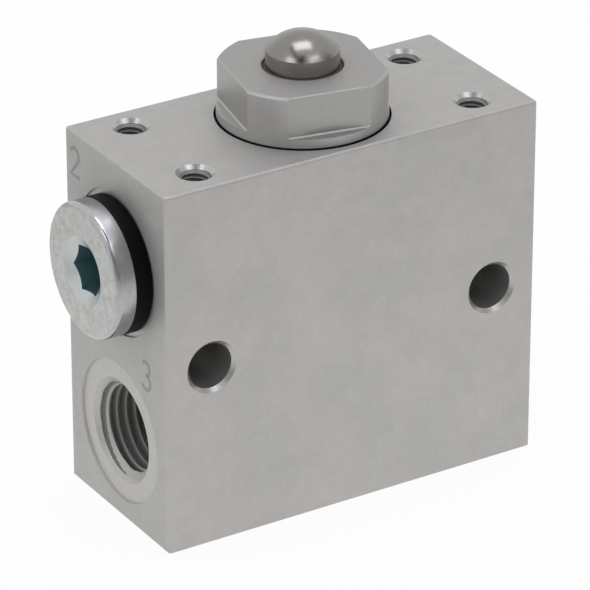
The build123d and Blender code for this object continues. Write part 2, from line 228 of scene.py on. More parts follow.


# %% [markdown]
# The block's upright edges are painted a little paler, partly rubbing wear and partly a painted highlight
# on their rounds. A point lies near an upright edge where it is close to an end and close to a broad side
# at once, so the larger of those two distances says how far in it is.

# %% Worn upright edges, with a painted highlight
def worn_and_lit_edges(tree, place):
    """1 on the block's upright edges, fading to 0 within the width of the wear and painted highlight."""
    away = add(tree, "ShaderNodeVectorMath", {0: place}, operation="ABSOLUTE")
    axes = add(tree, "ShaderNodeSeparateXYZ", {0: away})
    from_end = add(tree, "ShaderNodeMath", {0: right_face / MM, 1: axes.outputs[0]}, operation="SUBTRACT")
    from_side = add(tree, "ShaderNodeMath", {0: -front_face / MM, 1: axes.outputs[1]}, operation="SUBTRACT")
    from_edge = add(tree, "ShaderNodeMath", {0: from_end, 1: from_side}, operation="MAXIMUM")
    return add(tree, "ShaderNodeMapRange", {0: from_edge, 1: 0.0, 2: EDGE_WEAR_AND_SHEEN_MM, 3: 1.0, 4: 0.0},
               interpolation_type="SMOOTHSTEP")


# %% [markdown]
# The broad sides are the drawn bar's own skin. The top and the ends are faced with a milling cutter, and
# they are painted a shade darker than the sides, the top most of all: a painted shade for how the light
# falls on them. The direction of the surface tells them from the sides.

# %% Milled faces
FACING_STARTS = 0.6
FACING_FULL = 0.95


def facing(tree, *axes_seen):
    """1 on surfaces that look along one of these axes, 0 being X and 2 being Z, and 0 elsewhere."""
    surface = add(tree, "ShaderNodeTexCoord")
    either_way = add(tree, "ShaderNodeVectorMath", {0: surface.outputs["Normal"]}, operation="ABSOLUTE")
    axes = add(tree, "ShaderNodeSeparateXYZ", {0: either_way})
    most = axes.outputs[axes_seen[0]]
    for axis in axes_seen[1:]:
        most = add(tree, "ShaderNodeMath", {0: most, 1: axes.outputs[axis]}, operation="MAXIMUM")
    return add(tree, "ShaderNodeMapRange", {0: most, 1: FACING_STARTS, 2: FACING_FULL})


# %% Natural anodised aluminium
def natural_anodised_aluminium():
    material, tree, place = start_material("natural_anodised_aluminium")
    clouds = add(tree, "ShaderNodeTexNoise", {"Vector": place, "Scale": 1 / CLOUD_MM, "Detail": 3.0})
    smudges = add(tree, "ShaderNodeTexNoise", {"Vector": place, "Scale": 1 / SMUDGE_MM, "Detail": 3.0})
    grain = add(tree, "ShaderNodeTexNoise", {"Vector": place, "Scale": 1 / GRAIN_MM, "Detail": 2.0})
    tint = add(tree, "ShaderNodeMapRange", {0: clouds, 1: 0.4, 2: 0.6})
    drawn = add(tree, "ShaderNodeMix", {0: tint, 6: "#BEBAB8", 7: "#BAB9B6"}, data_type="RGBA")
    top = facing(tree, 2)
    # The top and the ends get a darker tone, a painted shade, the top darkest.
    milled_and_shaded_tone = add(tree, "ShaderNodeMix", {0: top, 6: "#B1B0AD", 7: "#AAA9A5"}, data_type="RGBA")
    ends_and_top = facing(tree, 0, 2)
    skin_tone = add(tree, "ShaderNodeMix", {0: ends_and_top, 6: drawn, 7: milled_and_shaded_tone}, data_type="RGBA")
    uneven = add(tree, "ShaderNodeMath", {0: smudges, 1: grain}, operation="ADD")
    shade = add(tree, "ShaderNodeMapRange", {0: uneven, 1: 0.7, 2: 1.3})
    toned = add(tree, "ShaderNodeMix", {0: UNEVENNESS, 6: skin_tone, 7: shade},
                data_type="RGBA", blend_type="OVERLAY")
    speck = specks(tree, place, SPECK_SPACING_MM, SPECK_RADIUS_MM, SPECK_SHARE)
    darker = add(tree, "ShaderNodeMath", {0: speck, 1: SPECK_DARKNESS}, operation="MULTIPLY")
    spotted = add(tree, "ShaderNodeMix", {0: darker, 6: toned, 7: "#7A7875"}, data_type="RGBA")
    wear_and_sheen = worn_and_lit_edges(tree, place)
    rubbed_and_lit = add(tree, "ShaderNodeMath", {0: wear_and_sheen, 1: smudges}, operation="MULTIPLY")
    # Paler upright edges: rubbing wear and a painted highlight.
    colour = add(tree, "ShaderNodeMix", {0: rubbed_and_lit, 6: spotted, 7: "#BDBCBA"}, data_type="RGBA")
    rough = add(tree, "ShaderNodeMapRange", {0: clouds, 1: 0.3, 2: 0.7, 3: 0.5, 4: 0.56})
    finish_surface(tree, colour, metallic=0.6, roughness=rough, relief=grain, height_mm=GRAIN_HEIGHT_MM)
    return material


block_metal = natural_anodised_aluminium()

# %% [markdown]
# ## Bored aluminium
#
# Drilled and bored walls lie deep in the block, where little light comes back out, and the cut leaves fine
# rings round the hole. Their colour is also painted darker than the block's, a painted shade for the depth.
# The walls are told from the outer faces by where they are, further down, so one block carries several
# finishes.

# %% Sizes of the bored walls' rings
BORING_FEED_MM = 0.25
BORING_HEIGHT_MM = 0.01
BORED_PATCH_MM = 1.0
# A wave texture of scale 1 draws a band every 0.314 units
WAVE_PERIOD = 0.314

# %% Bored aluminium
def shaded_bored_aluminium():
    material, tree, place = start_material("shaded_bored_aluminium")
    # A darker grey than the block: painted shade in the holes.
    smudge, colour = mottle(tree, place, BORED_PATCH_MM, "#888785", "#93928F", detail=2.0)
    rings = add(tree, "ShaderNodeTexWave", {"Vector": place, "Scale": WAVE_PERIOD / BORING_FEED_MM},
                wave_type="BANDS", bands_direction="Y")
    finish_surface(tree, colour, metallic=0.5, roughness=0.42, relief=rings, height_mm=BORING_HEIGHT_MM)
    return material


shaded_hole_metal = shaded_bored_aluminium()

# %% [markdown]
# ## Turned aluminium
#
# The nut is turned from bar and its flats are milled. A lathe tool leaves rings round the axis on the top
# and round the sides. Distance from the axis plus height gives both at once: on the top only the distance
# changes, and on the side only the height. The top is cut with a coarser feed, so it is duller, and it is
# painted a shade darker than the side, a painted shade. The nut stands in a narrow recess, and its foot is
# painted nearly black just above the block's top, a painted shade for the dark gap round it.

# %% Sizes of the turned surface
TURNING_FEED_MM = 0.22
TURNING_HEIGHT_MM = 0.004
SMEAR_MM = 0.8
# How far up the nut's foot the painted shade reaches, and where it is full
FOOT_SHADE_MM = 0.2
FOOT_SHADE_FULL_MM = 0.08
TOP_DULLNESS = 0.15

# %% Turned aluminium
def turned_aluminium():
    material, tree, place = start_material("turned_aluminium")
    smear, side = mottle(tree, place, SMEAR_MM, "#AFAEAC", "#BCBBB9")
    axes = add(tree, "ShaderNodeSeparateXYZ", {0: place})
    flat_place = add(tree, "ShaderNodeCombineXYZ", {0: axes.outputs[0], 1: axes.outputs[1]})
    radius = add(tree, "ShaderNodeVectorMath", {0: flat_place}, operation="LENGTH")
    path = add(tree, "ShaderNodeMath", {0: radius, 1: axes.outputs[2]}, operation="ADD")
    phase = add(tree, "ShaderNodeMath", {0: path, 1: 2 * math.pi / TURNING_FEED_MM}, operation="MULTIPLY")
    rings = add(tree, "ShaderNodeMath", {0: phase}, operation="SINE")
    top = facing(tree, 2)
    # The top is painted a shade darker than the side: painted shade.
    nut_tone = add(tree, "ShaderNodeMix", {0: top, 6: side, 7: "#9C9B98"}, data_type="RGBA")
    foot = top_face / MM
    # The foot, just above the block's top, is painted nearly black: painted shade in the gap.
    foot_shade = add(tree, "ShaderNodeMapRange",
              {0: axes.outputs[2], 1: foot + FOOT_SHADE_FULL_MM, 2: foot + FOOT_SHADE_MM, 3: 1.0, 4: 0.0})
    colour = add(tree, "ShaderNodeMix", {0: foot_shade, 6: nut_tone, 7: "#181817"}, data_type="RGBA")
    smeared = add(tree, "ShaderNodeMapRange", {0: smear, 1: 0.3, 2: 0.7, 3: 0.38, 4: 0.46})
    rough = add(tree, "ShaderNodeMath", {0: top, 1: TOP_DULLNESS, 2: smeared}, operation="MULTIPLY_ADD")
    relief = add(tree, "ShaderNodeMath", {0: rings, 1: smear}, operation="ADD")
    finish_surface(tree, colour, metallic=0.7, roughness=rough, relief=relief, height_mm=TURNING_HEIGHT_MM)
    return material


nut_metal = turned_aluminium()

# %% [markdown]
# ## Ground and polished steel
#
# The button is hardened steel, ground on its side and polished on its dome, so it mirrors the
# studio. What the dome shows is mostly the lamps, with a soft brownish grey between them.

# %% Polished steel
POLISH_MM = 0.5


def polished_steel():
    material, tree, place = start_material("polished_steel")
    smear, colour = mottle(tree, place, POLISH_MM, "#807E79", "#8B8985")
    rough = add(tree, "ShaderNodeMapRange", {0: smear, 1: 0.3, 2: 0.7, 3: 0.19, 4: 0.26})
    finish_surface(tree, colour, metallic=1.0, roughness=rough)
    return material


button_metal = polished_steel()

# %% [markdown]
# ## Zinc-plated steel
#
# The plug is plated with zinc and passivated blue. The plating is cloudy on the face, where the
# barrel has rubbed it and left small dark dents, and its film of oxide gives it a faint blue
# here and there.

# %% Sizes of the plating's patterns
BLOTCH_MM = 0.8
FILM_MM = 4.0
DENT_SPACING_MM = 1.5
DENT_RADIUS_MM = 0.22
DENT_SHARE = 0.35
DENT_DARKNESS = 0.6
PLATING_HEIGHT_MM = 0.006

# %% Zinc-plated steel
def zinc_plated_steel():
    material, tree, place = start_material("zinc_plated_steel")
    blotch = add(tree, "ShaderNodeTexNoise",
                 {"Vector": place, "Scale": 1 / BLOTCH_MM, "Detail": 4.0, "Roughness": 0.6})
    clouds = add(tree, "ShaderNodeTexNoise", {"Vector": place, "Scale": 1 / FILM_MM, "Detail": 2.0})
    share = add(tree, "ShaderNodeMapRange", {0: blotch, 1: 0.35, 2: 0.65})
    warm = add(tree, "ShaderNodeMix", {0: share, 6: "#B1B1AE", 7: "#C3C3C0"}, data_type="RGBA")
    film = add(tree, "ShaderNodeMapRange", {0: clouds, 1: 0.5, 2: 0.65, 3: 0.0, 4: 0.7})
    plated = add(tree, "ShaderNodeMix", {0: film, 6: warm, 7: "#BABFC0"}, data_type="RGBA")
    dent = specks(tree, place, DENT_SPACING_MM, DENT_RADIUS_MM, DENT_SHARE)
    darker = add(tree, "ShaderNodeMath", {0: dent, 1: DENT_DARKNESS}, operation="MULTIPLY")
    colour = add(tree, "ShaderNodeMix", {0: darker, 6: plated, 7: "#8E8F8C"}, data_type="RGBA")
    rough = add(tree, "ShaderNodeMapRange", {0: blotch, 1: 0.35, 2: 0.65, 3: 0.42, 4: 0.32})
    relief = add(tree, "ShaderNodeMath", {0: blotch, 1: dent}, operation="SUBTRACT")
    finish_surface(tree, colour, metallic=0.95, roughness=rough, relief=relief, height_mm=PLATING_HEIGHT_MM)
    return material


plug_metal = zinc_plated_steel()

# %% [markdown]
# ## The plug's turned faces
#
# The side of the collar is as the lathe left it under the plating. Its grooves run round the plug
# and spread each reflection across them, into a streak along the plug's axis. Cutting thousands
# of grooves would do it, but an anisotropic shader with its tangent round the X axis gives the
# same streak for one number. The countersink round the hexagon is cut the same way, and its plating
# is thicker and bluer.

# %% Turned and zinc-plated steel
def turned_zinc(name, dark, pale, metallic, roughness, streak):
    """Zinc plating over turned steel, with this much of a streak across the grooves."""
    material, tree, place = start_material(name)
    smear, colour = mottle(tree, place, BLOTCH_MM, dark, pale, detail=4.0)
    around = add(tree, "ShaderNodeTangent", direction_type="RADIAL", axis="X")
    finish_surface(tree, colour, metallic, roughness, more={"Anisotropic": streak, "Tangent": around})
    return material


collar_metal = turned_zinc("turned_zinc_plated_steel", "#A0A2A5", "#BDBEBE", 1.0, 0.26, 0.6)
cone_metal = turned_zinc("countersunk_zinc_plated_steel", "#B2BBBB", "#C2C5C3", 0.95, 0.3, 0.4)

# %% [markdown]
# ## The plug's socket
#
# Light reaches the hexagon only after meeting the blue film two or three times, so the socket
# looks dark teal. The solid's own depth makes it dark, and this finish only has to bring the
# colour, with little mirror in it so that the walls don't go black.

# %% Passivated zinc in the socket
def passivated_zinc_socket():
    material, tree, place = start_material("passivated_zinc_socket")
    smear, colour = mottle(tree, place, BLOTCH_MM, "#48686E", "#577B81")
    finish_surface(tree, colour, metallic=0.3, roughness=0.35)
    return material


socket_metal = passivated_zinc_socket()

# %% [markdown]
# ## Nitrile rubber and polyurethane
#
# The sealing rings are moulded nitrile: near black, slightly glossy where the mould was polished,
# with a faint grain. The wiper's lip is polyurethane, which wears better and is brown.

# %% Moulded rubber
RUBBER_GRAIN_MM = 0.4
RUBBER_HEIGHT_MM = 0.01


def moulded_rubber(name, dark, pale):
    """Matt rubber of two close tones."""
    material, tree, place = start_material(name)
    grain, colour = mottle(tree, place, RUBBER_GRAIN_MM, dark, pale)
    finish_surface(tree, colour, metallic=0.0, roughness=0.5, relief=grain, height_mm=RUBBER_HEIGHT_MM,
                   more={"IOR": 1.5, "Specular IOR Level": 0.1})
    return material


rubber = moulded_rubber("nitrile_rubber", "#060605", "#0E0E0D")
lip_rubber = moulded_rubber("polyurethane", "#4B4844", "#56534E")

# %% [markdown]
# ## One recipe for the plainer metals
#
# Many metals differ only in colour, in gloss and in how coarse their surface is, so one recipe
# makes them all. Nobody sees the turned brass of the cages, the sintered bronze of the bush or the
# drawn wire of the springs until the valve is taken apart, but each is its own metal.

# %% A plain metal
PLAIN_RELIEF = 0.02


def plain_metal(name, dark, pale, patch_mm, roughness, metallic=1.0):
    """Metal of two tones, with a relief that is a small share of its patches' size."""
    material, tree, place = start_material(name)
    patches, colour = mottle(tree, place, patch_mm, dark, pale)
    finish_surface(tree, colour, metallic, roughness, relief=patches, height_mm=PLAIN_RELIEF * patch_mm)
    return material


# %% [markdown]
# The same recipe makes the finishes of single faces. The milled flats of the nut have no turning rings, and
# the ledge below each flat is cut by the end of the milling cutter, which leaves it duller. A spot face is
# cut with a sharp tool, so its floor is a little paler than the milled end round it. Its low wall is bare
# metal, painted paler still, a painted highlight where it faces the light. The cones at the mouths of the
# tapped and the fixing holes are cut after anodising and bare, so they flash where they face a lamp. The
# recess round the nut is painted nearly black, a painted shade. The side of the button is ground, and the
# rim of the plug is rubbed brighter than its side.

# %% The plain metals and the finishes of single faces
turned_brass = plain_metal("turned_brass", "#C9A85C", "#DEC27C", 0.5, 0.28)
sintered_bronze = plain_metal("sintered_bronze", "#8E6B45", "#B08A5E", 0.15, 0.5)
spring_wire = plain_metal("drawn_spring_wire", "#8C8C8B", "#A2A2A1", 0.3, 0.3)
milled_flat = plain_metal("milled_aluminium", "#A9A8A5", "#B6B5B1", 0.6, 0.42)
ledge_metal = plain_metal("end_milled_aluminium", "#AFAEAB", "#BBBAB7", 1.0, 0.42, 0.8)
spot_metal = plain_metal("spot_faced_aluminium", "#B5B3AF", "#BEBCB8", 1.5, 0.45, 0.6)
# Paler than the spot face: bare cut metal with a painted highlight.
wall_painted_highlight = plain_metal("cut_aluminium_painted_highlight", "#CCCBC9", "#D8D7D5", 0.5, 0.4, 0.4)
mouth_metal = plain_metal("countersunk_aluminium", "#AFAEAC", "#B9B8B6", 0.6, 0.26, 0.7)
# Nearly black: painted shade in the recess round the nut.
recess_shade_metal = plain_metal("recess_shade_aluminium", "#0F0F0E", "#1A1A19", 0.6, 0.6, 0.3)
ground_metal = plain_metal("ground_steel", "#928F89", "#9F9C96", 0.5, 0.3)
rim_metal = plain_metal("rubbed_zinc_plated_steel", "#A0A2A5", "#B8B9B9", 0.8, 0.16)

# %% [markdown]
# ## Give each piece its finish
#
# The record names a material slot for every piece. A table from slot to finish dresses all of
# them in one loop, so no piece can be forgotten.

# %% Finishes by slot
finishes = {
    "anodised_block": block_metal,
    "turned_aluminium": nut_metal,
    "polished_steel": button_metal,
    "zinc_plated_steel": plug_metal,
    "spring_steel": spring_wire,
    "brass": turned_brass,
    "bronze": sintered_bronze,
    "seal_rubber": rubber,
}
for row in frame["record"]["subparts"]:
    mesh = nodes[row["node"]].data
    mesh.materials.clear()
    mesh.materials.append(finishes[row["material_slot"]])
print("dressed", len(nodes), "pieces")

# %% [markdown]
# ## Several finishes on one piece
#
# Each face of a solid knows where its middle is and which way it looks, and a rule made of those
# two picks the faces of a further finish. A face whose middle lies inside a hole's radius, and
# below its mouth, is the hole's wall. Counting the faces is a quick test that a rule found what it
# should. Where two rules pick the same face, the later one holds.

# %% The axes of the holes
LOWER_PORT_MM = 12.0
UPPER_PORT_MM = 36.0
FIXING_X_MM = 21.0
FIXING_Z_MM = 25.0
TAPPED_X_MM = 20.5
TAPPED_Y_MM = 8.0
ports = [(0, 0, LOWER_PORT_MM), (0, 0, UPPER_PORT_MM)]
fixing_holes = [(side * FIXING_X_MM, 0, FIXING_Z_MM) for side in (-1, 1)]
tapped_holes = [(x_side * TAPPED_X_MM, y_side * TAPPED_Y_MM, 0) for x_side in (-1, 1) for y_side in (-1, 1)]
nut_axis = [(0, 0, 0)]
plug_axis = [(0, 0, UPPER_PORT_MM)]
print(len(ports + fixing_holes + tapped_holes), "axes of holes, besides the nut's")

# %% Where a face lies and which way it looks
ALONG_X, ALONG_Y, ALONG_Z = 0, 1, 2
SLACK_MM = 0.03
# The share of a face's direction that lies along an axis: none on a wall, all of it on a flat face
WALL = 0.3
CONE = 0.5
FLAT = 0.95


def near(polygon, points, axis, radius):
    """Whether a face's middle lies within a radius of the line through any point along an axis."""
    for point in points:
        away = polygon.center / MM - Vector(point)
        away[axis] = 0
        if away.length < radius + SLACK_MM:
            return True
    return False


def further_finish(node, material, rule):
    """Give the faces that a rule picks one more material, and say how many there were."""
    mesh = nodes[node].data
    place = len(mesh.materials)
    mesh.materials.append(material)
    picked = [polygon for polygon in mesh.polygons if rule(polygon)]
    for polygon in picked:
        polygon.material_index = place
    print(node, "has", len(picked), "faces of", material.name)


# %% Holes of the block
PORT_RADIUS_MM = 6.5785
FIXING_RADIUS_MM = 3.1
TAPPED_RADIUS_MM = 2.0
TAPPED_DEPTH_MM = 12.0
NUT_RECESS_RADIUS_MM = 11.3
NUT_RECESS_DEPTH_MM = 1.2
HOLE_MOUTH_MM = 0.7


def in_a_hole(polygon):
    """Whether a face of the block is the wall of one of its holes."""
    height = polygon.center.z
    if near(polygon, fixing_holes, ALONG_Y, FIXING_RADIUS_MM):
        return True
    if near(polygon, tapped_holes, ALONG_Z, TAPPED_RADIUS_MM):
        return top_face - TAPPED_DEPTH_MM * MM < height < top_face
    if near(polygon, nut_axis, ALONG_Z, NUT_RECESS_RADIUS_MM):
        return block_low.z < height < top_face
    return near(polygon, ports, ALONG_X, PORT_RADIUS_MM)


def in_the_recess(polygon):
    """Whether a face of the block is the wall or the floor of the recess round the nut."""
    if not near(polygon, nut_axis, ALONG_Z, NUT_RECESS_RADIUS_MM):
        return False
    depth = (top_face - polygon.center.z) / MM
    return SLACK_MM < depth < NUT_RECESS_DEPTH_MM + SLACK_MM


def on_a_hole_mouth(polygon):
    """Whether a face of the block is the cone at the mouth of a fixing hole or a tapped hole."""
    if CONE < abs(polygon.normal.y) < FLAT:
        if near(polygon, fixing_holes, ALONG_Y, FIXING_RADIUS_MM + HOLE_MOUTH_MM):
            return True
    if CONE < polygon.normal.z < FLAT and polygon.center.z > top_face - HOLE_MOUTH_MM * MM:
        return near(polygon, tapped_holes, ALONG_Z, TAPPED_RADIUS_MM + HOLE_MOUTH_MM)
    return False


further_finish("valve_block", shaded_hole_metal, in_a_hole)
further_finish("valve_block", recess_shade_metal, in_the_recess)
further_finish("valve_block", mouth_metal, on_a_hole_mouth)

# %% Spot faces of the ports
SPOT_FACE_RADIUS_MM = 9.7
SPOT_FACE_DEPTH_MM = 0.3
PORT_MOUTH_MM = 0.5


def on_a_spot_face(polygon):
    """Whether a face of the block is the floor of a spot face, or the cone at a port's mouth."""
    depth = (block_size.x / 2 - abs(polygon.center.x)) / MM
    if not SPOT_FACE_DEPTH_MM - SLACK_MM < depth < SPOT_FACE_DEPTH_MM + PORT_MOUTH_MM:
        return False
    return abs(polygon.normal.x) >= WALL and near(polygon, ports, ALONG_X, SPOT_FACE_RADIUS_MM)


def on_a_spot_face_wall(polygon):
    """Whether a face of the block is the low wall round a spot face."""
    if abs(polygon.normal.x) > WALL:
        return False
    inside = near(polygon, ports, ALONG_X, SPOT_FACE_RADIUS_MM - 2 * SLACK_MM)
    return near(polygon, ports, ALONG_X, SPOT_FACE_RADIUS_MM) and not inside


further_finish("valve_block", spot_metal, on_a_spot_face)
further_finish("valve_block", wall_painted_highlight, on_a_spot_face_wall)

# %% Flats and ledges of the nut, and the side of the button
NUT_FLAT_MM = 9.5
LEDGE_DOWN_MM = 2.0
nut_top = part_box("gland_nut")[1].z


def on_a_flat(polygon):
    """Whether a face of the nut lies on one of its four flats."""
    return abs(polygon.normal.dot(polygon.center) / MM - NUT_FLAT_MM) < SLACK_MM


def on_a_ledge(polygon):
    """Whether a face of the nut is the ledge below one of its flats."""
    return polygon.normal.z > FLAT and top_face < polygon.center.z < nut_top - LEDGE_DOWN_MM * MM


def on_the_ground_side(polygon):
    """Whether a face of the plunger stands upright, which is where it is ground."""
    return abs(polygon.normal.z) < WALL


further_finish("gland_nut", milled_flat, on_a_flat)
further_finish("gland_nut", ledge_metal, on_a_ledge)
further_finish("plunger", ground_metal, on_the_ground_side)

# %% Socket, collar, rim and countersink of the plug
SOCKET_RADIUS_MM = 3.5
SOCKET_FLOOR_MM = 3.0
COUNTERSINK_RADIUS_MM = 4.6
COLLAR_SIDE_RADIUS_MM = 8.3
RIM_STARTS = 0.15
RIM_ENDS = 0.93
plug_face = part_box("port_plug")[0].x


def in_the_socket(polygon):
    """Whether a face of the plug is the wall or floor of its hexagon."""
    if not near(polygon, plug_axis, ALONG_X, SOCKET_RADIUS_MM):
        return False
    return abs(polygon.normal.x) < WALL or polygon.center.x > plug_face + SOCKET_FLOOR_MM * MM


def on_the_collar(polygon):
    """Whether a face of the plug is the turned side of its collar, or the round of its rim."""
    inside = near(polygon, plug_axis, ALONG_X, COLLAR_SIDE_RADIUS_MM)
    return not inside and abs(polygon.normal.x) < RIM_ENDS


def on_the_rim(polygon):
    """Whether a face of the plug is the round between its face and the side of its collar."""
    return on_the_collar(polygon) and abs(polygon.normal.x) > RIM_STARTS


def on_the_countersink(polygon):
    """Whether a face of the plug is the cone round its hexagon."""
    inside = near(polygon, plug_axis, ALONG_X, COUNTERSINK_RADIUS_MM)
    return inside and CONE < abs(polygon.normal.x) < FLAT


further_finish("port_plug", socket_metal, in_the_socket)
further_finish("port_plug", collar_metal, on_the_collar)
further_finish("port_plug", rim_metal, on_the_rim)
further_finish("port_plug", cone_metal, on_the_countersink)

# %% [markdown]
# ## From points to a piece
#
# The threads, the wiper's lip and the stamped digits are all made the same way: loops of points
# are placed by a formula, and faces are stretched from each loop to the next. A few helpers hold
# what repeats, and the one that puts a thing in the scene serves the lamps and the camera too.

# %% Stretch faces over loops of points
def skin(shape, loops, closed=True):
    """Faces from each loop to the next. Closed joins the last to the first, else each end gets a face."""
    following_loops = loops[1:] + loops[:1] if closed else loops[1:]
    for loop, following_loop in zip(loops, following_loops):
        for step in range(len(loop)):
            following = (step + 1) % len(loop)
            shape.faces.new((loop[step], loop[following], following_loop[following], following_loop[step]))
    if not closed:
        shape.faces.new(loops[0])
        shape.faces.new(loops[-1])
    bmesh.ops.recalc_face_normals(shape, faces=shape.faces)


def put_in_scene(name, data):
    """New object in the scene with this mesh, lamp or camera."""
    thing = bpy.data.objects.new(name, data)
    bpy.context.scene.collection.objects.link(thing)
    return thing


def new_object(name, shape, sharp_degrees=None):
    """Object of a finished shape in the scene, smooth where it bends less than this angle."""
    mesh = bpy.data.meshes.new(name)
    shape.to_mesh(mesh)
    shape.free()
    if sharp_degrees is not None:
        mesh.shade_smooth()
        mesh.set_sharp_from_angle(angle=math.radians(sharp_degrees))
    return put_in_scene(name, mesh)


# %% [markdown]
# ## Cut threads
#
# The ports have a pipe thread with 19 turns to the inch, and the top holes an M4 thread. The solid
# model bores them plain at the major diameter, which leaves room for a thin ring whose inside is
# the real helix.
#
# A screw modifier could sweep one tooth round the axis, but the countersink has to cut the first
# crests away, as it does on the real part. A grid of rings over depth and angle can do both: each
# point's distance from the axis is the helix or the cone, whichever is further out. The height of
# the crest and the depth are kept on the mesh, so that the finish can tell crests from valleys.

# %% Thread sizes
INCH_MM = 25.4
pipe_thread = {
    "radius": PORT_RADIUS_MM, "ridge": 0.856, "pitch": INCH_MM / 19, "mouth_radius": 7.0785,
    "mouth_depth": SPOT_FACE_DEPTH_MM, "end": 11.9, "first_crest": 1.8, "points_round": 112,
}
m4_thread = {
    "radius": TAPPED_RADIUS_MM, "ridge": 0.38, "pitch": 0.7, "mouth_radius": 2.5,
    "mouth_depth": 0.0, "end": 7.9, "first_crest": 0.75, "points_round": 48,
}
RINGS_PER_PITCH = 20
LINER_WALL_MM = 0.03
LINER_BACK_MM = 0.01
THREAD_SHARP_DEGREES = 75
# Height over a crest before it is cut to 1, and what it loses over one pitch
FLANK_REACH = 1.15
FLANK_SLOPE = 2.3


# %% The shape of a thread
def smooth_step(value):
    """0 below 0, 1 above 1, and an S-shaped rise between."""
    value = min(max(value, 0.0), 1.0)
    return value * value * (3 - 2 * value)


def thread_point(thread, depth, share):
    """Distance from the axis, and height of the crest, at a depth and a share of a turn."""
    turn = (depth - thread["first_crest"]) / thread["pitch"] - share
    crest = smooth_step(FLANK_REACH - FLANK_SLOPE * abs(turn - round(turn)))
    wall = thread["radius"] - LINER_WALL_MM
    helix = wall - thread["ridge"] * crest
    cone = min(thread["mouth_radius"] - (depth - thread["mouth_depth"]), wall)
    if cone > helix:
        return cone, 1.0
    return helix, crest


# %% One ring with a thread inside
def cut_thread(name, thread, mouth, inward, start):
    """Ring with a helical thread inside. Depths count from the mouth, all sizes in millimetres."""
    inward = Vector(inward)
    start = Vector(start)
    across = inward.cross(start)
    first = thread["mouth_depth"] + thread["mouth_radius"] - thread["radius"]
    length = thread["end"] - first
    rings = math.ceil(length / thread["pitch"] * RINGS_PER_PITCH)
    shape = bmesh.new()
    crest_layer = shape.verts.layers.float.new("crest")
    depth_layer = shape.verts.layers.float.new("depth")
    depths = [first + length * ring / rings for ring in range(rings + 1)]
    loops = []
    for ring, depth in enumerate(depths + [thread["end"], first]):
        loop = []
        for step in range(thread["points_round"]):
            share = step / thread["points_round"]
            out, crest = thread_point(thread, depth, share)
            if ring > rings:
                out = thread["radius"] - LINER_BACK_MM
            angle = 2 * math.pi * share
            outward = start * math.cos(angle) + across * math.sin(angle)
            point = shape.verts.new((Vector(mouth) + inward * depth + outward * out) * MM)
            point[crest_layer] = crest
            point[depth_layer] = depth
            loop.append(point)
        loops.append(loop)
    skin(shape, loops)
    piece = new_object(name, shape, THREAD_SHARP_DEGREES)
    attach(piece, "housing")
    turns = round(length / thread["pitch"], 1)
    print(name, "has", len(piece.data.polygons), "faces and", turns, "turns")
    return piece


# %% [markdown]
# ## The threads' finish
#
# Near the mouth the first crest of a pipe thread is painted paler, partly rubbed bright by fittings and
# partly a painted highlight, and the valley beside it is painted darker, a painted shade. The first crest
# of the small threads is painted a shade darker, a painted shade under the lip. Further in, crests and
# valleys are nearly the same grey, so only their shape makes the turns stand out. The rounded bottom of
# each valley has a thin painted highlight.

# %% Tapped aluminium
SCRATCH_MM = 0.3
SCRATCH_HEIGHT_MM = 0.01
SCRATCH_TONE = 0.12
# Heights of the thread, 0 being the valley and 1 the crest, and the strength of the painted highlight in
# the valley
CREST_STARTS = 0.45
VALLEY_ENDS = 0.03
VALLEY_HIGHLIGHT = 0.5
MOUTH_BAND_FADE = 1.25


def tapped_aluminium(name, mouth_band_mm, mouth_crest_tone):
    """Threads whose crests and valleys have their own painted tones down to a depth in millimetres: painted
    highlight and shade near the mouth.
    """
    material, tree, place = start_material(name)
    crest = add(tree, "ShaderNodeAttribute", attribute_name="crest")
    depth = add(tree, "ShaderNodeAttribute", attribute_name="depth")
    scratch = add(tree, "ShaderNodeTexNoise", {"Vector": place, "Scale": 1 / SCRATCH_MM, "Detail": 3.0})
    top = add(tree, "ShaderNodeMapRange", {0: crest.outputs["Fac"], 1: CREST_STARTS, 2: 1.0},
              interpolation_type="SMOOTHSTEP")
    root = add(tree, "ShaderNodeMapRange",
               {0: crest.outputs["Fac"], 1: 0.0, 2: VALLEY_ENDS, 3: VALLEY_HIGHLIGHT, 4: 0.0},
               interpolation_type="SMOOTHSTEP")
    inner = add(tree, "ShaderNodeMapRange",
                {0: depth.outputs["Fac"], 1: mouth_band_mm, 2: MOUTH_BAND_FADE * mouth_band_mm},
                interpolation_type="SMOOTHSTEP")
    # Valleys near the mouth are painted darker: painted shade.
    valley = add(tree, "ShaderNodeMix", {0: inner, 6: "#6E6D6B", 7: "#8E8D8A"}, data_type="RGBA")
    # A thin pale line at the bottom of each valley: painted highlight.
    valley_with_highlight = add(tree, "ShaderNodeMix", {0: root, 6: valley, 7: "#D8D7D4"}, data_type="RGBA")
    ridge = add(tree, "ShaderNodeMix", {0: inner, 6: mouth_crest_tone, 7: "#8A8986"}, data_type="RGBA")
    cut = add(tree, "ShaderNodeMix", {0: top, 6: valley_with_highlight, 7: ridge}, data_type="RGBA")
    colour = add(tree, "ShaderNodeMix", {0: SCRATCH_TONE, 6: cut, 7: scratch},
                 data_type="RGBA", blend_type="OVERLAY")
    finish_surface(tree, colour, metallic=0.4, roughness=0.45, relief=scratch, height_mm=SCRATCH_HEIGHT_MM)
    return material


pipe_thread_metal = tapped_aluminium("tapped_aluminium_pipe", 2.3, "#B4B3B0")
m4_thread_metal = tapped_aluminium("tapped_aluminium_m4", 1.2, "#83827F")

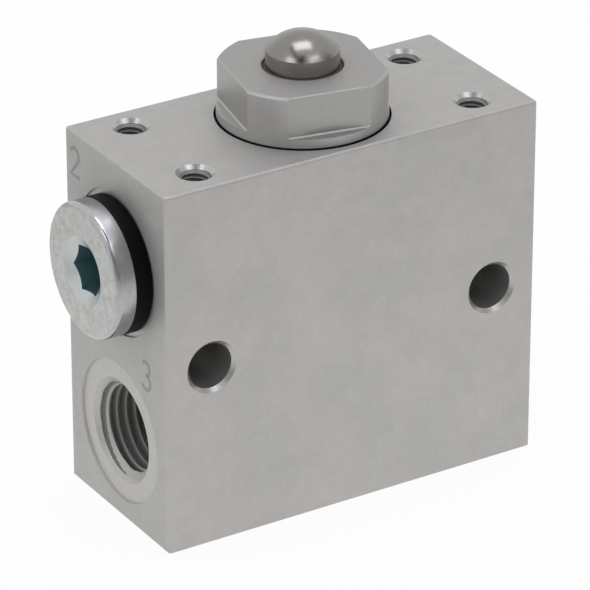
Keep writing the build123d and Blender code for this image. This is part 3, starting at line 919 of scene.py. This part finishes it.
# %% Thread the ports and the top holes
block_end = right_face / MM
block_top = top_face / MM
open_ports = {
    "exhaust_port_thread": (-1, LOWER_PORT_MM),
    "pressure_port_thread": (1, LOWER_PORT_MM),
    "working_port_thread": (1, UPPER_PORT_MM),
}
for name, (side, height) in open_ports.items():
    mouth = (side * block_end, 0, height)
    piece = cut_thread(name, pipe_thread, mouth, inward=(-side, 0, 0), start=(0, 1, 0))
    piece.data.materials.append(pipe_thread_metal)
for x_side, x_name in ((-1, "left"), (1, "right")):
    for y_side, y_name in ((-1, "front"), (1, "back")):
        name = x_name + "_" + y_name + "_tapped_thread"
        mouth = (x_side * TAPPED_X_MM, y_side * TAPPED_Y_MM, block_top)
        piece = cut_thread(name, m4_thread, mouth, inward=(0, 0, -1), start=(0, 1, 0))
        piece.data.materials.append(m4_thread_metal)

# %% [markdown]
# ## Coil springs
#
# A real compression spring has its end turns closed and ground flat, so that it stands square. The plain
# coils of the solid model have an even pitch, and they can't shorten. Here each is drawn again: a poly
# curve follows the wire's middle, with a pitch that tightens towards both ends, and the curve's round bevel
# makes the wire. It is turned into a mesh, and points past the end faces are pressed back onto them, which
# is what grinding does. At its joint's limit the long spring keeps 8.5 of its 12 mm, and the short one 3.4
# of its 5.7 mm.

# %% One coil spring
CLOSED_TURN = 0.9
CLOSED_PITCH_IN_WIRES = 0.75
GROUND_OFF_IN_WIRES = 0.25
STEPS_PER_TURN = 40


def coil_spring(name, replaced, mean_radius, wire, turns):
    """Closed and ground spring in place of a plain one. Sizes in millimetres."""
    low, high = (corner.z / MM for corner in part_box(replaced))
    line = bpy.data.curves.new(name, "CURVE")
    line.dimensions = "3D"
    line.bevel_depth = wire / 2 * MM
    line.bevel_resolution = 4
    line.use_fill_caps = True
    steps = int(turns * STEPS_PER_TURN)
    spline = line.splines.new("POLY")
    spline.points.add(steps)
    free_turns = turns - 2 * CLOSED_TURN
    rise_closed = CLOSED_PITCH_IN_WIRES * wire * CLOSED_TURN
    middle_in = (0.5 - GROUND_OFF_IN_WIRES) * wire
    first = low + middle_in
    rise_free = high - middle_in - first - 2 * rise_closed
    for step in range(steps + 1):
        turn = turns * step / steps
        up = first + rise_closed * min(turn / CLOSED_TURN, 1.0)
        up += rise_free * min(max((turn - CLOSED_TURN) / free_turns, 0.0), 1.0)
        up += rise_closed * max((turn - turns + CLOSED_TURN) / CLOSED_TURN, 0.0)
        angle = 2 * math.pi * turn
        place = Vector((mean_radius * math.cos(angle), mean_radius * math.sin(angle), up))
        spline.points[step].co = (*place * MM, 1.0)
    bent = bpy.data.objects.new(name + "_line", line)
    mesh = bpy.data.meshes.new_from_object(bent)
    bpy.data.objects.remove(bent)
    for point in mesh.vertices:
        point.co.z = min(max(point.co.z, low * MM), high * MM)
    mesh.shade_smooth()
    mesh.materials.clear()
    mesh.materials.append(spring_wire)
    piece = put_in_scene(name, mesh)
    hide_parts(replaced)
    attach(piece, "housing")
    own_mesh(piece)
    print(name, "has", turns, "turns between", round(low, 2), "and", round(high, 2), "mm")


# %% Wind both springs
coil_spring("plunger_return_spring", "plunger_spring", mean_radius=5.4, wire=1.1, turns=6.5)
coil_spring("poppet_return_spring", "poppet_spring", mean_radius=4.05, wire=0.8, turns=4.5)

# %% [markdown]
# ## The wiper's lip
#
# Between the button and the nut stands the wiper's lip, a thin cone of polyurethane that keeps dust
# out. The solid ring under it is too deep in the gap to be seen. A screw modifier could turn the
# lip's outline round the axis. Four loops of points joined by faces are as short to write, and give
# a plain mesh at once.

# %% Turn the lip
BUTTON_RADIUS_MM = 4.75
LIP_CLEARANCE_MM = 0.03
MOUTH_GAP_MM = 0.45
LIP_POINTS_ROUND = 96
LIP_SHARP_DEGREES = 30
lip_inner = BUTTON_RADIUS_MM + LIP_CLEARANCE_MM
lip_outer = BUTTON_RADIUS_MM + MOUTH_GAP_MM - LIP_CLEARANCE_MM
# Radius, and depth below the nut's top, of each corner of the lip's section
lip_section_mm = [(lip_inner, 0.1), (lip_outer, 0.45), (lip_outer, 0.8), (lip_inner, 0.25)]
shape = bmesh.new()
loops = []
for radius, depth in lip_section_mm:
    loop = []
    for step in range(LIP_POINTS_ROUND):
        angle = 2 * math.pi * step / LIP_POINTS_ROUND
        corner = Vector((radius * math.cos(angle), radius * math.sin(angle), nut_top / MM - depth))
        loop.append(shape.verts.new(corner * MM))
    loops.append(loop)
skin(shape, loops)
lip = new_object("wiper_lip", shape, LIP_SHARP_DEGREES)
lip.data.materials.append(lip_rubber)
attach(lip, "housing")
print("lip is", round(lip.dimensions.x / MM, 2), "mm across")

# %% [markdown]
# ## Stamped port numbers
#
# Valve ports are numbered, and the numbers are struck into the metal with a steel punch. Each stroke is a
# shallow groove with a rim that the punch has pushed up. The block's own faces can't be cut here, so the
# rim and the floor of the groove are drawn as a low strip on the face, and the strip is painted darker than
# the block, a painted shade for the groove's depth. A bevelled curve could carry this section too, but
# placing the points straight on the face keeps the strip exactly on it.

# %% Stamped aluminium
PRESSED_MM = 0.4


def shaded_stamped_aluminium():
    material, tree, place = start_material("shaded_stamped_aluminium")
    # Darker than the block: painted shade for the groove.
    pressed, colour = mottle(tree, place, PRESSED_MM, "#83827F", "#A09F9C", detail=2.0)
    finish_surface(tree, colour, metallic=0.6, roughness=0.45)
    return material


shaded_stamp_metal = shaded_stamped_aluminium()

# %% [markdown]
# A digit is one pen stroke: arcs for its bows and straight runs between them. Arcs are given by
# centre, radius and the angles where they start and end, in a box one unit high.

# %% The strokes of two digits
ARC_STEPS = 14


def arc(x, y, radius, start, end):
    """Points on an arc between two angles in degrees."""
    points = []
    for step in range(ARC_STEPS + 1):
        angle = math.radians(start + (end - start) * step / ARC_STEPS)
        points.append(Vector((x + radius * math.cos(angle), y + radius * math.sin(angle))))
    return points


digit_strokes = {
    "2": arc(0.3, 0.72, 0.26, 160, -38) + [Vector((0.04, 0.02)), Vector((0.6, 0.02))],
    "3": arc(0.29, 0.75, 0.23, 150, -80) + arc(0.29, 0.26, 0.26, 80, -150),
}

# %% Stamp a digit on the left face
DIGIT_HEIGHT_MM = 4.0
RIM_MM = 0.03
FLOOR_MM = 0.006
# Distance from the stroke's middle, and height over the face, of each corner of its section
stroke_section_mm = [(-0.28, -0.02), (-0.28, 0.0), (-0.2, RIM_MM), (-0.12, FLOOR_MM), (0.12, FLOOR_MM),
                     (0.2, RIM_MM), (0.28, 0.0), (0.28, -0.02)]


def stamp_digit(name, digit, y, z):
    """Stamp a digit on the left face, its lower corner nearest the back at y and z in millimetres."""
    stroke = digit_strokes[digit]
    shape = bmesh.new()
    ribs = []
    for step, point in enumerate(stroke):
        along = stroke[min(step + 1, len(stroke) - 1)] - stroke[max(step - 1, 0)]
        sideways = Vector((-along.y, along.x)).normalized()
        rib = []
        for side, up in stroke_section_mm:
            # On the left face the reader's right is the valve's front
            drawn = point * DIGIT_HEIGHT_MM + sideways * side
            rib.append(shape.verts.new(Vector((left_face / MM - up, y - drawn.x, z + drawn.y)) * MM))
        ribs.append(rib)
    skin(shape, ribs, closed=False)
    piece = new_object(name, shape)
    piece.data.materials.append(shaded_stamp_metal)
    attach(piece, "housing")
    print(name, "is", round(piece.dimensions.z / MM, 2), "mm high")


stamp_digit("stamped_2", "2", y=11.3, z=43.9)
stamp_digit("stamped_3", "3", y=-6.0, z=21.2)

# %% [markdown]
# ## The studio
#
# The picture was taken in a white product studio. The block's faces are nearly even in tone, so
# most of the light comes from all around. The dome of the button shows the rest, because it
# mirrors almost the whole room: a softbox overhead, a narrow lamp to the left, another to the
# front, and a dark gap between those two.
#
# Every bright spot on the dome gives one direction, from the slope of the dome there and the line
# of sight. The lamps are set out along these directions. Their light is a little cooler than the
# room's, as the dome shows too.

# %% Lamps where the dome shows them
LAMP_DISTANCE = 0.5
LAMP_TINT = "#F3F0FF"
# Direction from the valve, turn in plan in degrees, width and depth in metres, and brightness
lamps = {
    "overhead_softbox": ((0.08, 0.15, 0.98), -21, 0.30, 0.20, 3.2),
    "left_lamp": ((-0.60, -0.11, 0.79), -80, 0.20, 0.09, 2.5),
    "front_lamp": ((0.20, -0.51, 0.84), 9, 0.22, 0.09, 2.15),
}
valve_top = Vector((0, 0, block_size.z))


def face_the_valve(thing, towards, turn):
    """Put a lamp or a card in this direction from the valve's top, facing it, its width turned in plan."""
    direction = Vector(towards).normalized()
    level = Vector((math.cos(math.radians(turn)), math.sin(math.radians(turn)), 0))
    across = (level - level.dot(direction) * direction).normalized()
    thing.location = valve_top + direction * LAMP_DISTANCE
    thing.rotation_euler = Matrix((across, direction.cross(across), direction)).transposed().to_euler()


for name, (towards, turn, width, depth, brightness) in lamps.items():
    light = bpy.data.lights.new(name, "AREA")
    light.shape = "RECTANGLE"
    light.size = width
    light.size_y = depth
    light.energy = brightness * math.pi * width * depth
    light.color = linear(LAMP_TINT)[:3]
    lamp = put_in_scene(name, light)
    lamp.visible_camera = False
    face_the_valve(lamp, towards, turn)
    print(name, "gives", round(light.energy, 3), "W")

# %% [markdown]
# A studio's dark gaps can be made with cards: a dark one, and a narrow grey one along the side of
# the softbox. They would throw shadows and darken the block, so they only show in reflections,
# where the polished dome picks them up.

# %% Cards for the dome
# Direction, turn, width and depth as for the lamps, and tone
cards = {
    "black_card": ((-0.28, -0.38, 0.88), -20, 0.15, 0.15, "#505050"),
    "grey_card": ((-0.33, 0.03, 0.94), -20, 0.06, 0.42, "#606060"),
}
for name, (towards, turn, width, depth, tone) in cards.items():
    shape = bmesh.new()
    bmesh.ops.create_grid(shape, x_segments=1, y_segments=1, size=0.5)
    bmesh.ops.scale(shape, vec=(width, depth, 1), verts=shape.verts)
    card = new_object(name, shape)
    card.visible_camera = False
    card.visible_diffuse = False
    card.visible_shadow = False
    card.visible_transmission = False
    face_the_valve(card, towards, turn)
    material, tree, place = start_material(name)
    finish_material(tree, add(tree, "ShaderNodeBsdfDiffuse", {"Color": tone}))
    card.data.materials.append(material)
    print(name, "is", round(width, 2), "by", round(depth, 2), "m")

# %% [markdown]
# The room itself is white, but its front half, behind the camera, is darker up to about half way
# from level to overhead. Only mirrors show that: it makes the dark band along the plug's collar. The
# heights and depths below are those of a direction one unit long.

# %% A white world with a darker front
ROOM_LIGHT = 0.75
FRONT_STARTS = -0.1
FRONT_FULL = -0.35
LOW_FULL = 0.58
LOW_ENDS = 0.76
FRONT_LOSS = 0.65
world = bpy.data.worlds.new("white_studio")
bpy.context.scene.world = world
world.use_nodes = True
tree = world.node_tree
tree.nodes.clear()
ray = add(tree, "ShaderNodeLightPath")
seen = add(tree, "ShaderNodeMath", {0: ray.outputs["Is Camera Ray"], 1: ray.outputs["Is Glossy Ray"]},
           operation="MAXIMUM")
seen_or_through = add(tree, "ShaderNodeMath", {0: seen, 1: ray.outputs["Is Transmission Ray"]},
                      operation="MAXIMUM")
even = add(tree, "ShaderNodeMapRange", {0: seen_or_through, 3: ROOM_LIGHT, 4: 1.0})
towards = add(tree, "ShaderNodeTexCoord")
axes = add(tree, "ShaderNodeSeparateXYZ", {0: towards.outputs["Generated"]})
in_front = add(tree, "ShaderNodeMapRange", {0: axes.outputs[1], 1: FRONT_STARTS, 2: FRONT_FULL})
low = add(tree, "ShaderNodeMapRange", {0: axes.outputs[2], 1: LOW_FULL, 2: LOW_ENDS, 3: 1.0, 4: 0.0})
dim = add(tree, "ShaderNodeMath", {0: in_front, 1: low}, operation="MULTIPLY")
mirrored = add(tree, "ShaderNodeMath", {0: dim, 1: ray.outputs["Is Glossy Ray"]}, operation="MULTIPLY")
lost = add(tree, "ShaderNodeMath", {0: mirrored, 1: FRONT_LOSS}, operation="MULTIPLY")
strength = add(tree, "ShaderNodeMath", {0: even, 1: lost}, operation="SUBTRACT")
sky = add(tree, "ShaderNodeBackground", {"Color": "#FFFFFF", "Strength": strength})
add(tree, "ShaderNodeOutputWorld", {"Surface": sky})
print("world made")

# %% [markdown]
# ## The floor
#
# The valve stands on a plain pale sheet. Part of the floor's tone comes from light of its own,
# most of all where the camera or a mirror sees it, so it stays near white while the rest still
# takes the valve's soft shadow. Mirrors see it a little darker further out, where a studio's white
# sheet ends.

# %% A pale floor
FLOOR_HALF = 3.0
FLOOR_DROP = 0.02 * MM
shape = bmesh.new()
corners = []
for x, y in ((-1, -1), (1, -1), (1, 1), (-1, 1)):
    corners.append(shape.verts.new((x * FLOOR_HALF, y * FLOOR_HALF, block_low.z - FLOOR_DROP)))
shape.faces.new(corners)
floor = new_object("studio_floor", shape)
print("floor is", 2 * FLOOR_HALF, "m wide")

# %% The floor's finish
SHEET_NEAR_MM = 60.0
SHEET_FAR_MM = 220.0
SHEET_FAR_LIGHT = 0.65
OWN_LIGHT = 0.5
OWN_LIGHT_SEEN = 0.94
material, tree, place = start_material("pale_paper")
ray = add(tree, "ShaderNodeLightPath")
seen = add(tree, "ShaderNodeMath", {0: ray.outputs["Is Camera Ray"], 1: ray.outputs["Is Glossy Ray"]},
           operation="MAXIMUM")
share = add(tree, "ShaderNodeMapRange", {0: seen, 3: OWN_LIGHT, 4: OWN_LIGHT_SEEN})
paper = add(tree, "ShaderNodeBsdfDiffuse", {"Color": "#F4F4F3"})
away = add(tree, "ShaderNodeVectorMath", {0: place}, operation="LENGTH")
sheet = add(tree, "ShaderNodeMapRange",
            {0: away, 1: SHEET_NEAR_MM, 2: SHEET_FAR_MM, 3: 1.0, 4: SHEET_FAR_LIGHT})
strength = add(tree, "ShaderNodeMath", {0: sheet, 1: ray.outputs["Is Camera Ray"]}, operation="MAXIMUM")
glow = add(tree, "ShaderNodeEmission", {"Color": "#FFFFFF", "Strength": strength})
mixed = add(tree, "ShaderNodeMixShader", {0: share, 1: paper, 2: glow})
finish_material(tree, mixed)
floor.data.materials.append(material)

# %% [markdown]
# ## The camera
#
# The photograph's vanishing lines give the viewing angle, the distance and the lens: the camera
# stands well back with a long lens, a little above the valve and to its left.

# %% Camera at the photograph's angle
CAMERA_AZIMUTH = -31.67
CAMERA_ELEVATION = 26.915
CAMERA_DISTANCE_MM = 617.2
CAMERA_LENS = 291.96
LOOK_AT_MM = (-1.12, 0.0, 24.43)
azimuth = math.radians(CAMERA_AZIMUTH)
elevation = math.radians(CAMERA_ELEVATION)
level = math.cos(elevation)
to_camera = Vector((math.sin(azimuth) * level, -math.cos(azimuth) * level, math.sin(elevation)))
camera_data = bpy.data.cameras.new("camera")
camera_data.sensor_width = 36.0
camera_data.lens = CAMERA_LENS
camera_data.clip_start = 0.01
camera_data.clip_end = 20.0
camera = put_in_scene("camera", camera_data)
camera.location = (Vector(LOOK_AT_MM) + to_camera * CAMERA_DISTANCE_MM) * MM
camera.rotation_euler = to_camera.to_track_quat("Z", "Y").to_euler()
bpy.context.scene.camera = camera
bpy.context.scene.view_settings.view_transform = "Standard"
print("camera at, mm:", [round(value / MM, 1) for value in camera.location])
